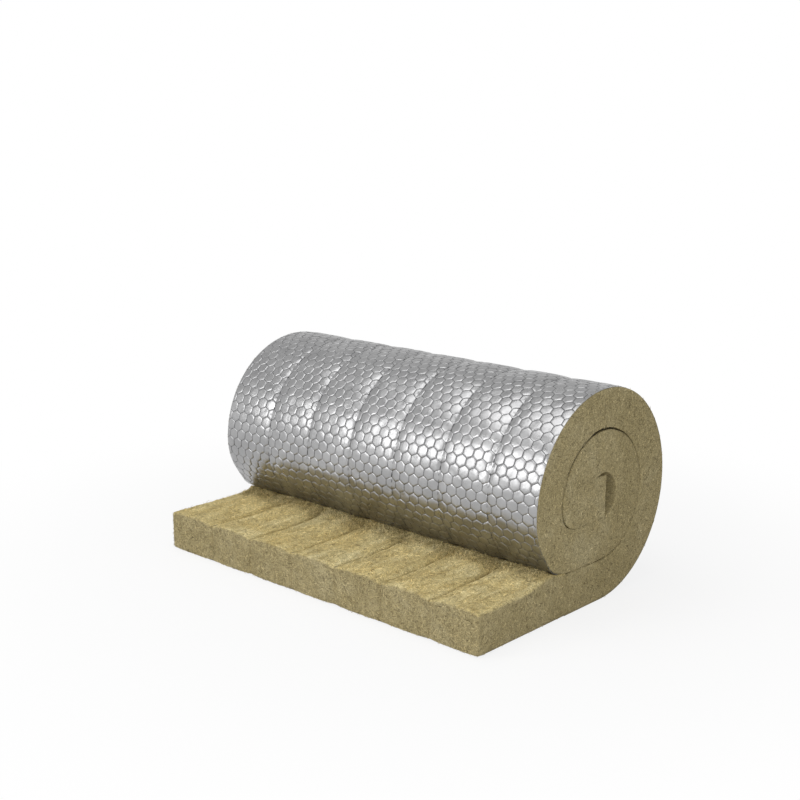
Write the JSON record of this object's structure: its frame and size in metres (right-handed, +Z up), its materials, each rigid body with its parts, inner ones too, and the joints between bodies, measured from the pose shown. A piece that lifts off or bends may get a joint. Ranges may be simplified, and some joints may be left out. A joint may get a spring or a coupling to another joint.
{
  "type": "insulation roll",
  "caption": "Stitched mineral-wool mat faced with foil and hexagonal wire netting, wound into a roll with its free end laid flat, for insulating pipes, ducts and vessels.",
  "frame": {"origin": "on the floor, below the middle of the part's box", "axes": "+X along the roll's axis, -Y towards the free end of the mat, +Z up from the floor"},
  "size_m": [1, 0.6859, 0.4999],
  "materials": {
    "wool": "fibrous, matte",
    "foil": "pillowed foil under galvanised netting"
  },
  "bodies": {
    "root": {"wool_mat": "wool", "foil_facing": "foil"}
  },
  "joints": []
}
